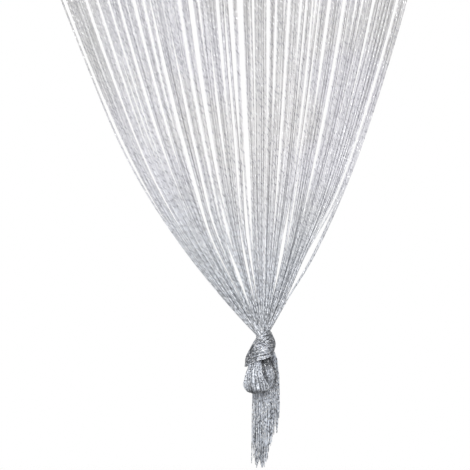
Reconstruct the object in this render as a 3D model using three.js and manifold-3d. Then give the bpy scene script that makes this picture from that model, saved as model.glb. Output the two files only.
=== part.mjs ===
// A string door curtain: silver-grey strings that hang from a woven heading tape with a rod pocket.
// Near their lower ends the strings are drawn together and tied in a slipped overhand knot.
// The knot's wrap goes round the bundle, its bow hangs in front, and the loose ends hang behind the bow.
// Units are millimetres, +Z is up, and -Y is the face that the room sees.
// The origin is the middle of the tape's top edge, where a rod carries the curtain.

import * as THREE from "three";
import { mergeVertices } from "three/addons/utils/BufferGeometryUtils.js";
import Module from "manifold-3d";

const wasm = await Module();
wasm.setup();

// Driving dimensions of the heading tape
const curtainWidth = 900;
const tapeHeight = 50;
const tapeThickness = 1.2;
const pocketRadius = 8.5; // inside, where the rod lies
const seamHeight = 12; // the flat foot, where the two layers are sewn together
const pocketFlare = 0.25; // radians below level, where the round of the pocket turns into its straight sides
const pieceGap = 0.3;

// Driving dimensions of the strings
const stringCount = 140;
const stringRadius = 0.92; // of the three-sided strand, centre to corner
const neckStringRadius = 0.58; // the same string, drawn tight in the neck
const tightUpTo = 0.1; // share of the way out to the tape up to which the strings are drawn tight
const fullFrom = 0.6; // share of the way from which they have their full thickness
const stringSteps = 8;
const edgeInset = 3; // from the tape's end to the first string
const stripHeight = 4;
const stripThickness = 2.2;
const hangHeight = 1550; // from the strip's foot down to the neck of the knot
const hangingLength = 280; // string below the neck, whose weight sets how the fan sags

// Where the knot hangs. The middle of its neck is the point that its own sizes are measured from.
const stripFoot = -(tapeHeight + pieceGap + stripHeight);
const knotPlace = new THREE.Vector3(74, 0, stripFoot - hangHeight);
const neckHalfWidth = 10;
const neckHalfDepth = 10.5;

// Slits between the clumps of strings. at: place across the fan, 0 left to 1 right.
// width: as a share of the fan. closes: height above the neck where the slit runs out.
const slits = [
  { at: 0.014, width: 0.012, closes: 130 },
  { at: 0.075, width: 0.011, closes: 160 },
  { at: 0.112, width: 0.009, closes: 200 },
  { at: 0.14, width: 0.008, closes: 215 },
  { at: 0.168, width: 0.009, closes: 225 },
  { at: 0.212, width: 0.012, closes: 235 },
  { at: 0.24, width: 0.009, closes: 245 },
  { at: 0.268, width: 0.012, closes: 115 },
  { at: 0.3, width: 0.009, closes: 125 },
  { at: 0.34, width: 0.01, closes: 155 },
  { at: 0.375, width: 0.012, closes: 75 },
  { at: 0.412, width: 0.008, closes: 225 },
  { at: 0.448, width: 0.01, closes: 80 },
  { at: 0.478, width: 0.011, closes: 100 },
  { at: 0.51, width: 0.013, closes: 110 },
  { at: 0.552, width: 0.008, closes: 205 },
  { at: 0.6, width: 0.009, closes: 295 },
  { at: 0.622, width: 0.008, closes: 260 },
  { at: 0.656, width: 0.01, closes: 165 },
  { at: 0.7, width: 0.009, closes: 230 },
  { at: 0.738, width: 0.012, closes: 85 },
  { at: 0.776, width: 0.008, closes: 300 },
  { at: 0.82, width: 0.013, closes: 150 },
  { at: 0.862, width: 0.008, closes: 380 },
  { at: 0.9, width: 0.008, closes: 340 },
  { at: 0.932, width: 0.008, closes: 400 },
  { at: 0.968, width: 0.012, closes: 80 },
];
const slitReach = 0.012; // how far across the fan a slit pushes the strings beside it
const slitSoftness = 120; // the height over which a slit opens
const slitsFullBelow = 0.55; // as a share of the hang: above this the strings even out again
const slitsGoneAbove = 0.97;

// The knot: x to the right, y to the back, z up. Angles run round it from its right by way of the back.
const knotTop = -2.3; // its flat top, on which the strings end
const knotTopRadius = 11.2;
const knotFloor = -30; // the middle of the wrap's underside, behind the bow
const floorScale = 0.3;
const ridgeHeight = 0.7;
const wrapRidges = 9;
const wrapSides = 24;

// The wrap's outline on its right, back, left and front. bulge: how far it stands out past its top.
// widest: how far down that is, 0 to 1. slope: 1 for a round shoulder, more for a sloping one.
// hem: the lower edge's radius, as a share of the widest. foot: the lower edge's height.
const wrapProfiles = [
  { bulge: 7.6, widest: 0.62, slope: 0.9, hem: 0.8, foot: -28 },
  { bulge: 8, widest: 0.55, slope: 1, hem: 0.75, foot: -31 },
  { bulge: 12, widest: 0.8, slope: 1.6, hem: 0.93, foot: -47 },
  { bulge: 8.5, widest: 0.6, slope: 1, hem: 0.8, foot: -36 },
];

// The bow: the bundle's middle line, from the wrap down, round and up again, and how broad it is there.
const bowRidges = 12;
const bowSteps = 15;
const bowPath = [
  { x: -4, y: -3, z: -26, halfWidth: 9, halfDepth: 8 },
  { x: -9.5, y: -9, z: -45, halfWidth: 11, halfDepth: 8 },
  { x: -13, y: -10.5, z: -62, halfWidth: 12, halfDepth: 7.5 },
  { x: -5.5, y: -9.5, z: -70.5, halfWidth: 10.5, halfDepth: 8 },
  { x: 6, y: -7, z: -65, halfWidth: 10, halfDepth: 8 },
  { x: 9.5, y: -5.5, z: -53, halfWidth: 9, halfDepth: 8 },
  { x: 7.5, y: -3, z: -40, halfWidth: 8, halfDepth: 7.5 },
  { x: 4, y: 0, z: -26, halfWidth: 8, halfDepth: 7 },
];

// The loose ends, which leave the knot's back as a tassel
const tailPitch = 2.2; // between strings, below the bow
const tailMiddle = { x: 5, y: 12.5 };
const tailHalfWidth = 18;
const tailHalfDepth = 8.4;
const tailHeadTop = -18;
const tailHeadFoot = -46;
const tailHeadTopScale = 0.55;
const tailHeadSides = 28;
const tailHeadScale = 0.82; // how much closer the strings lie where they leave the head
const tailHeadWall = 0.06; // how far the head reaches past its outermost strings, as a share of the oval
const tailRadius = 0.84;
const tailTip = -184;
const tailShortBy = 42; // how much sooner the right-hand ends stop
const tailUneven = 9;
const tailSpread = 1.04; // how much the ends stand apart at their tips
const tailFullAt = 0.35; // share of the way down at which the tail has its full width
const rootDepth = 2; // how deep the ends are rooted in the head

const goldenAngle = Math.PI * (3 - Math.sqrt(5));
const { lerp, smoothstep } = THREE.MathUtils;

function material(color, roughness, metalness) {
  return new THREE.MeshStandardMaterial({ color, roughness, metalness });
}

// A closed skin over a row of rings that all have the same number of points, with both ends capped.
// The rings run anticlockwise as seen from the last one towards the first.
function loft(rings) {
  const sides = rings[0].length;
  const points = rings.flat();
  const faces = [];
  for (let ring = 1; ring < rings.length; ring++) {
    for (let side = 0; side < sides; side++) {
      const next = (side + 1) % sides;
      const low = (ring - 1) * sides;
      const high = ring * sides;
      faces.push(low + side, low + next, high + side);
      faces.push(low + next, high + next, high + side);
    }
  }
  const last = (rings.length - 1) * sides;
  for (let side = 1; side < sides - 1; side++) {
    faces.push(0, side + 1, side);
    faces.push(last, last + side, last + side + 1);
  }
  const geometry = new THREE.BufferGeometry().setFromPoints(points);
  geometry.setIndex(faces);
  return geometry;
}

// A closed geometry as a manifold solid.
function solidOf(geometry) {
  return new wasm.Manifold(
    new wasm.Mesh({
      numProp: 3,
      vertProperties: geometry.attributes.position.array,
      triVerts: new Uint32Array(geometry.index.array),
    }),
  );
}

// Several closed geometries that run into each other, as the geometry of one solid.
function fused(geometries) {
  const mesh = wasm.Manifold.union(geometries.map(solidOf)).getMesh();
  const geometry = new THREE.BufferGeometry();
  geometry.setAttribute("position", new THREE.BufferAttribute(mesh.vertProperties, 3));
  geometry.setIndex(new THREE.BufferAttribute(mesh.triVerts, 1));
  return geometry;
}

// The heading tape, whose upper part stands open as the rod pocket.
// Its section is drawn with its own x from front to back and its own y up.
function headerTape() {
  const outerRadius = pocketRadius + tapeThickness;
  const seamTop = seamHeight - tapeHeight;
  const section = new THREE.Shape();
  section.moveTo(-tapeThickness, -tapeHeight);
  section.lineTo(tapeThickness, -tapeHeight);
  section.lineTo(tapeThickness, seamTop);
  section.absarc(0, -outerRadius, outerRadius, -pocketFlare, Math.PI + pocketFlare, false);
  section.lineTo(-tapeThickness, seamTop);
  section.closePath();
  const pocket = new THREE.Path();
  pocket.absarc(0, -outerRadius, pocketRadius, -pocketFlare, Math.PI + pocketFlare, false);
  pocket.lineTo(0, seamTop + tapeThickness);
  pocket.closePath();
  section.holes.push(pocket);
  const options = { depth: curtainWidth, bevelEnabled: false, curveSegments: 16 };
  const geometry = new THREE.ExtrudeGeometry(section, options);
  geometry.translate(0, 0, -curtainWidth / 2);
  geometry.rotateX(Math.PI / 2);
  geometry.rotateZ(Math.PI / 2);
  return geometry;
}

// Places spread evenly over the neck's oval, from left to right.
function neckPlaces() {
  const places = [];
  for (let k = 0; k < stringCount; k++) {
    const share = Math.sqrt((k + 0.5) / stringCount);
    const angle = k * goldenAngle;
    const x = share * neckHalfWidth * Math.cos(angle);
    const y = share * neckHalfDepth * Math.sin(angle);
    places.push({ x, y });
  }
  return places.sort((a, b) => a.x - b.x);
}

// The height at which a hanging string has covered a share of its way out from the neck to the tape.
function heightAt(share) {
  return hangingLength * ((1 + hangHeight / hangingLength) ** share - 1);
}

// How far the slits push a string sideways, as a share of the fan's width.
function slitPush(place, height) {
  const free = 1 - smoothstep(height / hangHeight, slitsFullBelow, slitsGoneAbove);
  let push = 0;
  for (const slit of slits) {
    const open = free * smoothstep(height, slit.closes, slit.closes + slitSoftness);
    const away = place - slit.at;
    push += Math.sign(away) * (slit.width / 2) * open * Math.exp(-Math.abs(away) / slitReach);
  }
  return push;
}

// A three-sided ring of a strand, level with the floor.
function strandRing(middle, radius) {
  return [0, 1, 2].map((corner) => {
    const angle = (corner * 2 * Math.PI) / 3;
    return new THREE.Vector3(radius * Math.cos(angle), radius * Math.sin(angle), 0).add(middle);
  });
}

// One string, from the knot's top up into the strip. Its rings lie closer near the neck, where it bends most.
function hangingString(place, neck) {
  const span = curtainWidth - 2 * edgeInset;
  const headX = (place - 0.5) * span;
  const rings = [];
  for (let step = 0; step <= stringSteps; step++) {
    const share = step / stringSteps;
    const height = heightAt(share);
    const middle = new THREE.Vector3(
      lerp(knotPlace.x + neck.x, headX, share) + slitPush(place, height) * span * share,
      neck.y * (1 - share),
      knotPlace.z + height,
    );
    if (step === 0) middle.z = knotPlace.z + knotTop + pieceGap;
    if (step === stringSteps) middle.z += stripHeight / 2;
    const fullness = smoothstep(share, tightUpTo, fullFrom);
    rings.push(strandRing(middle, lerp(neckStringRadius, stringRadius, fullness)));
  }
  return loft(rings);
}

// The strings, fused at their upper ends into the strip that is sewn to the tape's foot.
function stringPanel() {
  const box = new THREE.BoxGeometry(curtainWidth, stripThickness, stripHeight);
  box.translate(0, 0, stripFoot + stripHeight / 2);
  box.deleteAttribute("normal");
  box.deleteAttribute("uv");
  const strings = neckPlaces().map((neck, i) => hangingString(i / (stringCount - 1), neck));
  return fused([mergeVertices(box), ...strings]);
}

// The wrap's outline at an angle, blended between two sides of the table.
function wrapProfile(angle) {
  const quarters = (angle * 2) / Math.PI;
  const from = wrapProfiles[Math.floor(quarters)];
  const to = wrapProfiles[(Math.floor(quarters) + 1) % wrapProfiles.length];
  const blend = smoothstep(quarters % 1, 0, 1);
  const profile = {};
  for (const key of Object.keys(from)) profile[key] = lerp(from[key], to[key], blend);
  return profile;
}

// The wrap: a ridged collar that is closed over the bundle inside it.
function wrap() {
  const rings = [];
  for (let row = 2 * wrapRidges; row >= 0; row--) {
    const down = row / (2 * wrapRidges);
    const ridge = row % 2 === 0 ? 0 : ridgeHeight;
    const ring = [];
    for (let side = 0; side < wrapSides; side++) {
      const angle = (side * 2 * Math.PI) / wrapSides;
      const { bulge, widest, slope, hem, foot } = wrapProfile(angle);
      const swell = Math.sin((Math.PI / 2) * Math.min(1, down / widest) ** slope);
      const drawnIn = lerp(1, hem, smoothstep(down, widest, 1));
      const radius = (knotTopRadius + bulge * swell) * drawnIn + ridge;
      const z = lerp(knotTop, foot, down);
      ring.push(new THREE.Vector3(radius * Math.cos(angle), radius * Math.sin(angle), z));
    }
    rings.push(ring);
  }
  const floor = rings[0].map(({ x, y }) => new THREE.Vector3(x * floorScale, y * floorScale, knotFloor));
  return loft([floor, ...rings]);
}

// The bow: a ridged oval bundle along its path.
function bow() {
  const path = new THREE.CatmullRomCurve3(bowPath.map(({ x, y, z }) => new THREE.Vector3(x, y, z)));
  const halves = bowPath.map(({ halfWidth, halfDepth }) => new THREE.Vector2(halfWidth, halfDepth));
  const sizes = new THREE.SplineCurve(halves);
  const toBack = new THREE.Vector3(0, 1, 0);
  const rings = [];
  for (let step = 0; step <= bowSteps; step++) {
    const t = step / bowSteps;
    const middle = path.getPoint(t);
    const size = sizes.getPoint(t);
    const across = new THREE.Vector3().crossVectors(toBack, path.getTangent(t)).normalize();
    const ring = [];
    for (let side = 0; side < 2 * bowRidges; side++) {
      const angle = (side * Math.PI) / bowRidges;
      const ridge = side % 2 === 0 ? 0 : ridgeHeight;
      const point = middle.clone();
      point.addScaledVector(across, (size.x + ridge) * Math.cos(angle));
      point.addScaledVector(toBack, (size.y + ridge) * Math.sin(angle));
      ring.push(point);
    }
    rings.push(ring);
  }
  return loft(rings);
}

// Places of the loose ends below the bow, in rows that fill the tail's oval.
function tailPlaces() {
  const places = [];
  const rowPitch = (tailPitch * Math.sqrt(3)) / 2;
  const rows = Math.floor(tailHalfDepth / rowPitch);
  for (let row = -rows; row <= rows; row++) {
    const y = row * rowPitch;
    const reach = tailHalfWidth * Math.sqrt(1 - (y / tailHalfDepth) ** 2);
    const shift = row % 2 === 0 ? 0 : tailPitch / 2;
    const count = Math.floor((reach + shift) / tailPitch);
    for (let k = -count; k <= count; k++) {
      const x = k * tailPitch - shift;
      if (Math.abs(x) <= reach) places.push({ x, y });
    }
  }
  return places;
}

// The head of the tassel, which comes out from under the wrap at the back.
function tailHead() {
  const rings = [0, 0.5, 1].map((up) => {
    const z = lerp(tailHeadFoot, tailHeadTop, up);
    const scale = lerp(tailHeadScale, tailHeadTopScale, smoothstep(up, 0, 1)) + tailHeadWall;
    const ring = [];
    for (let side = 0; side < tailHeadSides; side++) {
      const angle = (side * 2 * Math.PI) / tailHeadSides;
      const ridge = side % 2 === 0 ? 0 : ridgeHeight;
      const x = tailMiddle.x + (scale * tailHalfWidth + ridge) * Math.cos(angle);
      const y = tailMiddle.y + (scale * tailHalfDepth + ridge) * Math.sin(angle);
      ring.push(new THREE.Vector3(x, y, z));
    }
    return ring;
  });
  return loft(rings);
}

// One loose end, from its uneven tip up into the head.
function looseEnd({ x, y }, index) {
  const uneven = Math.sin(index * goldenAngle) * tailUneven;
  const tip = tailTip + tailShortBy * smoothstep(x, 0, tailHalfWidth) + uneven;
  const stops = [
    { z: tip, scale: tailSpread },
    { z: lerp(tailHeadFoot, tip, tailFullAt), scale: 1 },
    { z: tailHeadFoot + rootDepth, scale: tailHeadScale },
  ];
  return loft(
    stops.map(({ z, scale }) => {
      const middle = new THREE.Vector3(tailMiddle.x + x * scale, tailMiddle.y + y * scale, z);
      return strandRing(middle, tailRadius * scale);
    }),
  );
}

// The knot with its loose ends, fused into one solid and set under the fan.
function knotAndTail() {
  const geometry = fused([wrap(), bow(), tailHead(), ...tailPlaces().map(looseEnd)]);
  geometry.translate(knotPlace.x, knotPlace.y, knotPlace.z);
  return geometry;
}

const group = new THREE.Group();

function addPiece(name, geometry, look) {
  const mesh = new THREE.Mesh(geometry, look);
  mesh.name = name;
  group.add(mesh);
}

const tapeLook = material(0xc9cacd, 0.7, 0.1);
const stringLook = material(0xb9bcc1, 0.5, 0.25);

addPiece("header_tape", headerTape(), tapeLook);
addPiece("string_panel", stringPanel(), stringLook);
addPiece("knot_and_tail", knotAndTail(), stringLook);

export default group;
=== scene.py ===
import math

import bpy
import numpy as np
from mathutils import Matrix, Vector


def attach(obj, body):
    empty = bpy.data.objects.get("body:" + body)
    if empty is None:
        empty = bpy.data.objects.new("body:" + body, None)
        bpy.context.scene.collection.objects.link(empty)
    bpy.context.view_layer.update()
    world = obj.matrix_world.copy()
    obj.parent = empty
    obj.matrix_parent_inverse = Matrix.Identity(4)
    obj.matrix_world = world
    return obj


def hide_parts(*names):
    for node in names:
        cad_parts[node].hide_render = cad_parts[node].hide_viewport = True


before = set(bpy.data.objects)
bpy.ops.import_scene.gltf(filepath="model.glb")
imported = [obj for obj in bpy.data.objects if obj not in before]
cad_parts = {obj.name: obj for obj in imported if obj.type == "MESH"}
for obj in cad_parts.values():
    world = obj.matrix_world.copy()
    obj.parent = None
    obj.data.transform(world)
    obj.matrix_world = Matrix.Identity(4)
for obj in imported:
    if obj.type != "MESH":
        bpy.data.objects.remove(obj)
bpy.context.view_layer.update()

scene = bpy.context.scene
mm = 0.001
fullTurn = 2 * math.pi
goldenAngle = math.pi * (3 - math.sqrt(5))
creaseAngle = math.radians(50)
print("string curtain: the packed frame is loaded")


def smoothStep(value, low, high):
    share = np.clip((value - low) / (high - low), 0, 1)
    return share * share * (3 - 2 * share)


def lerp(start, end, share):
    return start + (end - start) * share


def unit(vectors):
    return vectors / np.linalg.norm(vectors, axis=-1, keepdims=True)


def meshPoints(piece):
    points = np.empty(len(piece.data.vertices) * 3)
    piece.data.vertices.foreach_get("co", points)
    return points.reshape(-1, 3)


def setMeshPoints(piece, points):
    piece.data.vertices.foreach_set("co", np.asarray(points, float).ravel())
    piece.data.update()


def floatAttribute(mesh, name, values):
    layer = mesh.attributes.new(name, "FLOAT", "POINT")
    layer.data.foreach_set("value", np.asarray(values, np.float32))


def deselectAll():
    if bpy.context.object and bpy.context.object.mode != "OBJECT":
        bpy.ops.object.mode_set(mode="OBJECT")
    bpy.ops.object.select_all(action="DESELECT")


def primitive(name, add, place=(0, 0, 0), **sizes):
    deselectAll()
    add(location=place, **sizes)
    piece = bpy.context.object
    piece.name = name
    return piece


# Lays a piece out flat: where each of its points lies on the cloth, in metres.
def layClothMap(piece, spots):
    corners = np.empty(len(piece.data.loops), int)
    piece.data.loops.foreach_get("vertex_index", corners)
    clothMap = piece.data.uv_layers.new(name="cloth")
    clothMap.uv.foreach_set("vector", spots[corners].ravel().astype(np.float32))


strandSides = 6


# Many strands as one mesh. paths: strand, point, xyz in metres. The oval section's depth leans towards
# reference. The yarn's finish reads tone, for each point or strand, and seed, one value for each strand.
def strandMesh(name, paths, halfWidth, halfDepth, reference, turn, tone, seed, material):
    count, steps = paths.shape[:2]
    along = unit(np.gradient(paths, axis=1))
    towards = np.broadcast_to(np.asarray(reference, float), paths.shape)
    depth = unit(towards - along * np.sum(towards * along, axis=-1, keepdims=True))
    width = np.cross(depth, along)
    turn, halfWidth, halfDepth = (np.broadcast_to(values, (count, steps))[..., None, None]
                                  for values in (turn, halfWidth, halfDepth))
    angles = ((np.arange(strandSides) + 0.5) * fullTurn / strandSides)[:, None]
    across = width[:, :, None] * np.cos(turn) + depth[:, :, None] * np.sin(turn)
    deep = depth[:, :, None] * np.cos(turn) - width[:, :, None] * np.sin(turn)
    rings = paths[:, :, None] + across * halfWidth * np.cos(angles) + deep * halfDepth * np.sin(angles)

    strand = np.arange(count)[:, None, None] * steps * strandSides
    step = np.arange(steps - 1)[:, None] * strandSides
    side = np.arange(strandSides)
    low = strand + step + side
    lowNext = strand + step + (side + 1) % strandSides
    walls = np.stack([low, lowNext, lowNext + strandSides, low + strandSides], axis=-1).reshape(-1, 4)
    startCap = np.array([[0, 3, 2, 1], [0, 5, 4, 3]])
    endCap = startCap[:, ::-1] + (steps - 1) * strandSides
    caps = (strand + np.concatenate([startCap, endCap])).reshape(-1, 4)
    mesh = bpy.data.meshes.new(name)
    mesh.from_pydata(rings.reshape(-1, 3), [], np.concatenate([walls, caps]))

    length = np.cumsum(np.linalg.norm(np.diff(paths, axis=1, prepend=paths[:, :1]), axis=-1), axis=1)
    lowAlong = np.broadcast_to(length[:, :-1, None], low.shape)
    highAlong = np.broadcast_to(length[:, 1:, None], low.shape)
    left = np.broadcast_to(side / strandSides, low.shape)
    right = np.broadcast_to((side + 1) / strandSides, low.shape)
    wallMap = np.stack([left, lowAlong, right, lowAlong, right, highAlong, left, highAlong], axis=-1)
    spots = np.concatenate([wallMap.reshape(-1, 8), np.zeros((len(caps), 8))])
    yarnMap = mesh.uv_layers.new(name="yarn")
    yarnMap.uv.foreach_set("vector", spots.ravel().astype(np.float32))
    tone = np.broadcast_to(np.asarray(tone).reshape(count, -1), (count, steps))
    floatAttribute(mesh, "tone", np.repeat(tone.ravel(), strandSides))
    floatAttribute(mesh, "seed", np.repeat(seed, steps * strandSides))
    mesh.shade_smooth()
    mesh.validate()
    mesh.materials.append(material)
    piece = bpy.data.objects.new(name, mesh)
    scene.collection.objects.link(piece)
    return piece


# How dark and bright a dash may be, and how many spreads a whole strand's tone may be off.
toneLimits = {"darkDash": 0.3, "brightDash": 1.9, "strand": 1.8}


# Light and dark dashes on strands that lie side by side: a random factor for each point, evened over some.
def dashes(rng, shape, strength, evenedOver=1):
    noise = rng.normal(0, 1, shape)
    noise = sum(np.roll(noise, k, axis=1) for k in range(evenedOver)) / math.sqrt(evenedOver)
    return np.clip(np.exp(strength * noise), toneLimits["darkDash"], toneLimits["brightDash"])


# One factor for each strand, so that some are bright and some dark over their whole length.
def strandTone(rng, count, spread):
    return 1 + spread * np.clip(rng.normal(0, 1, (count, 1)), -toneLimits["strand"], toneLimits["strand"])


# A wave along one strand, with a random start and a random number of turns.
def randomWave(rng, t, turns):
    return np.sin(fullTurn * (t * rng.uniform(*turns) + rng.uniform()))


# Points spread evenly over an oval, from its middle outwards.
def ovalPlaces(count, halfWidth, halfDepth):
    k = np.arange(count)
    share = np.sqrt((k + 0.5) / count)
    return halfWidth * share * np.cos(k * goldenAngle), halfDepth * share * np.sin(k * goldenAngle)


# A smooth line through rows of numbers, with one value for each place between 0 and 1.
def smoothRows(rows, places):
    rows = np.asarray(rows, float)
    padded = np.concatenate([[2 * rows[0] - rows[1]], rows, [2 * rows[-1] - rows[-2]]])
    span = np.clip(np.asarray(places, float), 0, 1) * (len(rows) - 1)
    first = np.minimum(span.astype(int), len(rows) - 2)
    t = (span - first)[..., None]
    a, b, c, d = (padded[first + k] for k in range(4))
    return 0.5 * (2 * b + (c - a) * t + (2 * a - 5 * b + 4 * c - d) * t**2 + (3 * b - a - 3 * c + d) * t**3)


def nodeGroup(name, inputs, outputs):
    tree = bpy.data.node_groups.new(name, "ShaderNodeTree")
    for label, value in inputs.items():
        socket = tree.interface.new_socket(name=label, in_out="INPUT", socket_type="NodeSocketFloat")
        socket.default_value = value
    for label in outputs:
        tree.interface.new_socket(name=label, in_out="OUTPUT", socket_type="NodeSocketFloat")
    return tree, tree.nodes.new("NodeGroupInput"), tree.nodes.new("NodeGroupOutput")


# Gives some of a node's sockets constant values, or links other nodes' outputs to them.
def feed(tree, node, values):
    for label, value in values.items():
        if isinstance(value, bpy.types.NodeSocket):
            tree.links.new(value, node.inputs[label])
        else:
            node.inputs[label].default_value = value


def newNode(tree, kind, values):
    node = tree.nodes.new("ShaderNode" + kind)
    feed(tree, node, values)
    return node


def placeGroup(tree, group, **values):
    node = tree.nodes.new("ShaderNodeGroup")
    node.node_tree = group
    feed(tree, node, values)
    return node


def mathNode(tree, operation, *values):
    node = tree.nodes.new("ShaderNodeMath")
    node.operation = operation
    feed(tree, node, dict(enumerate(values)))
    return node.outputs[0]


def vectorNode(tree, operation, values):
    node = tree.nodes.new("ShaderNodeVectorMath")
    node.operation = operation
    feed(tree, node, values)
    return node


def rangeNode(tree, value, low, high, toLow=0.0, toHigh=1.0):
    node = tree.nodes.new("ShaderNodeMapRange")
    node.interpolation_type = "SMOOTHSTEP"
    feed(tree, node, {"Value": value, "From Min": low, "From Max": high, "To Min": toLow, "To Max": toHigh})
    return node.outputs["Result"]


def mixColour(tree, factor, first, second):
    node = tree.nodes.new("ShaderNodeMix")
    node.data_type = "RGBA"
    feed(tree, node, {0: factor, 6: first, 7: second})
    return node.outputs[2]


def noiseNode(tree, place, scale, detail):
    return newNode(tree, "TexNoise", {"Vector": place, "Scale": scale, "Detail": detail}).outputs["Fac"]


def objectPlace(tree):
    return tree.nodes.new("ShaderNodeTexCoord").outputs["Object"]


def splitVector(tree, vector):
    return list(newNode(tree, "SeparateXYZ", {0: vector}).outputs)


# The two coordinates of a piece's own UV map: round a strand and along it, or along a cloth and across it.
def mapPlace(tree, name):
    node = tree.nodes.new("ShaderNodeUVMap")
    node.uv_map = name
    return splitVector(tree, node.outputs["UV"])[:2]


def attributeValue(tree, name):
    node = tree.nodes.new("ShaderNodeAttribute")
    node.attribute_name = name
    return node.outputs["Fac"]


def newMaterial(name):
    material = bpy.data.materials.new(name)
    material.use_nodes = True
    tree = material.node_tree
    shader = next(node for node in tree.nodes if node.type == "BSDF_PRINCIPLED")
    return material, tree, shader


def bumpNode(tree, height, distance):
    values = {"Height": height, "Distance": distance, "Strength": 1.0}
    return newNode(tree, "Bump", values).outputs["Normal"]


# The metal thread's marks: how far seeds set them off along a string, their slant and how many are bright.
threadMarks = {"seedTurns": 37.0, "slant": 0.2, "slantStart": fullTurn / 3, "brightShare": 0.8}


# The metal thread that winds round a string and flashes as bright silver, or shows a dark mark that is a
# painted dark reflection, where it comes to the surface.
def metalThreadGroup():
    inputs = {"Around": 0.0, "Along": 0.0, "Seed": 0.0, "Pitch": 0.011, "Width": 0.24, "Share": 0.5}
    tree, given, made = nodeGroup("metalThread", inputs, ["DarkReflection", "Bright"])
    turns = mathNode(tree, "DIVIDE", given.outputs["Along"], given.outputs["Pitch"])
    shifted = mathNode(tree, "MULTIPLY_ADD", given.outputs["Seed"], threadMarks["seedTurns"], turns)
    turned = mathNode(tree, "MULTIPLY_ADD", given.outputs["Around"], fullTurn, threadMarks["slantStart"])
    wound = mathNode(tree, "MULTIPLY_ADD", mathNode(tree, "SINE", turned), threadMarks["slant"], shifted)
    phase = mathNode(tree, "FRACT", wound)
    pair = newNode(tree, "CombineXYZ", {0: mathNode(tree, "FLOOR", wound), 1: given.outputs["Seed"]})
    noise = newNode(tree, "TexWhiteNoise", {"Vector": pair.outputs[0]})
    noise.noise_dimensions = "2D"
    onThread = mathNode(tree, "LESS_THAN", phase, given.outputs["Width"])
    isDarkReflection = mathNode(tree, "LESS_THAN", noise.outputs["Value"], given.outputs["Share"])
    brightFrom = mathNode(tree, "MULTIPLY_ADD", given.outputs["Share"], -threadMarks["brightShare"], 1.0)
    isBright = mathNode(tree, "GREATER_THAN", noise.outputs["Value"], brightFrom)
    feed(tree, made, {"DarkReflection": mathNode(tree, "MULTIPLY", onThread, isDarkReflection),
                      "Bright": mathNode(tree, "MULTIPLY", onThread, isBright)})
    return tree


fibres = {"scale": 2600, "detail": 2}


# The plies of a twisted yarn, as a height, and the grooves between them, as a mask for painted shade.
def yarnTwistGroup():
    inputs = {"Around": 0.0, "Along": 0.0, "Plies": 3.0, "Pitch": 0.004, "Fuzz": 0.35}
    tree, given, made = nodeGroup("yarnTwist", inputs, ["Height", "GrooveShade"])
    turns = mathNode(tree, "DIVIDE", given.outputs["Along"], given.outputs["Pitch"])
    lay = mathNode(tree, "MULTIPLY_ADD", given.outputs["Around"], given.outputs["Plies"], turns)
    wave = mathNode(tree, "SINE", mathNode(tree, "MULTIPLY", lay, fullTurn))
    rounded = mathNode(tree, "MULTIPLY_ADD", wave, 0.5, 0.5)
    fibre = noiseNode(tree, objectPlace(tree), fibres["scale"], fibres["detail"])
    fuzz = mathNode(tree, "MULTIPLY", fibre, given.outputs["Fuzz"])
    feed(tree, made, {"Height": mathNode(tree, "ADD", rounded, fuzz),
                      "GrooveShade": mathNode(tree, "SUBTRACT", 1.0, rounded)})
    return tree


weave = {"ribs": 0.35, "relief": 0.37}


# A plain weave of ribs across and along, as a height.
def tapeWeaveGroup():
    inputs = {"Across": 0.0, "Along": 0.0, "Rib": 0.0016, "Pick": 0.0008}
    tree, given, made = nodeGroup("tapeWeave", inputs, ["Height", "Shade"])
    ribs = mathNode(tree, "DIVIDE", given.outputs["Across"], given.outputs["Rib"])
    picks = mathNode(tree, "DIVIDE", given.outputs["Along"], given.outputs["Pick"])
    ribWave = mathNode(tree, "SINE", mathNode(tree, "MULTIPLY", ribs, fullTurn))
    pickWave = mathNode(tree, "SINE", mathNode(tree, "MULTIPLY", picks, fullTurn))
    crossed = mathNode(tree, "MULTIPLY", ribWave, pickWave)
    ribbed = mathNode(tree, "MULTIPLY_ADD", ribWave, weave["ribs"], crossed)
    height = mathNode(tree, "MULTIPLY_ADD", ribbed, weave["relief"], 0.5)
    feed(tree, made, {"Height": height, "Shade": mathNode(tree, "SUBTRACT", 1.0, height)})
    return tree


metalThread = metalThreadGroup()
yarnTwist = yarnTwistGroup()
tapeWeave = tapeWeaveGroup()
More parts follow.
